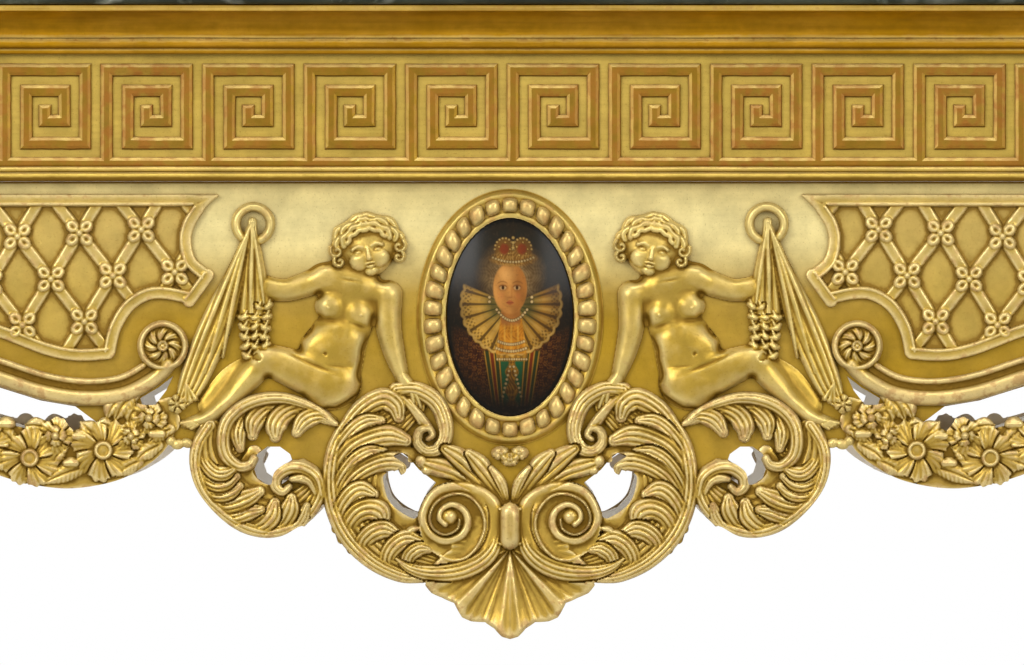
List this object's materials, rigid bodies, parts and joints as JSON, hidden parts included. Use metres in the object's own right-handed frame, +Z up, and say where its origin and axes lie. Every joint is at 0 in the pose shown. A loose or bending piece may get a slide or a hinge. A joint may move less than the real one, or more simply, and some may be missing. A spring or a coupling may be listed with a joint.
{
  "type": "centre table",
  "caption": "Gilded wooden centre table: marble slab on a Greek key frieze with pierced, carved aprons, an oval portrait between seated figures, and cabriole scroll legs.",
  "frame": {"origin": "on the floor, under the middle of the table", "axes": "+X along the long sides, +Y from the front with the portrait that faces -Y towards the back, +Z up"},
  "size_m": [1.11, 0.7036, 0.85],
  "materials": {
    "gilding": "satin",
    "pine": "matte",
    "marble": "gloss",
    "lacquer": "gloss"
  },
  "bodies": {
    "root": {"marble_top": "marble", "cornice_front": "gilding", "cornice_right": "gilding", "cornice_back": "gilding", "cornice_left": "gilding", "frieze_rail_front": "pine", "frieze_rail_right": "pine", "frieze_rail_back": "pine", "frieze_rail_left": "pine", "key_fret_front": "gilding", "key_fret_right": "gilding", "key_fret_back": "gilding", "key_fret_left": "gilding", "base_bead_front": "gilding", "base_bead_right": "gilding", "base_bead_back": "gilding", "base_bead_left": "gilding", "apron_front": "gilding", "apron_right": "gilding", "apron_back": "gilding", "apron_left": "gilding", "scroll_leg_front_right": "gilding", "scroll_leg_back_right": "gilding", "scroll_leg_back_left": "gilding", "scroll_leg_front_left": "gilding", "corner_brace_front_right": "pine", "corner_brace_back_right": "pine", "corner_brace_back_left": "pine", "corner_brace_front_left": "pine", "top_bearer_left": "pine", "top_bearer_right": "pine", "scroll_carving_front": "gilding", "scroll_carving_right": "gilding", "scroll_carving_back": "gilding", "scroll_carving_left": "gilding", "oval_frame_front": "gilding", "oval_frame_right": "gilding", "oval_frame_back": "gilding", "oval_frame_left": "gilding", "portrait_panel_front": "lacquer", "portrait_panel_back": "lacquer", "patera_right": "gilding", "patera_left": "gilding", "edge_moulding_front_right": "gilding", "edge_moulding_front_left": "gilding", "edge_moulding_right_right": "gilding", "edge_moulding_right_left": "gilding", "edge_moulding_back_right": "gilding", "edge_moulding_back_left": "gilding", "edge_moulding_left_right": "gilding", "edge_moulding_left_left": "gilding", "figure_front_right": "gilding", "figure_front_left": "gilding", "figure_back_right": "gilding", "figure_back_left": "gilding", "garland_front_right": "gilding", "garland_front_left": "gilding", "garland_back_right": "gilding", "garland_back_left": "gilding"}
  },
  "joints": []
}
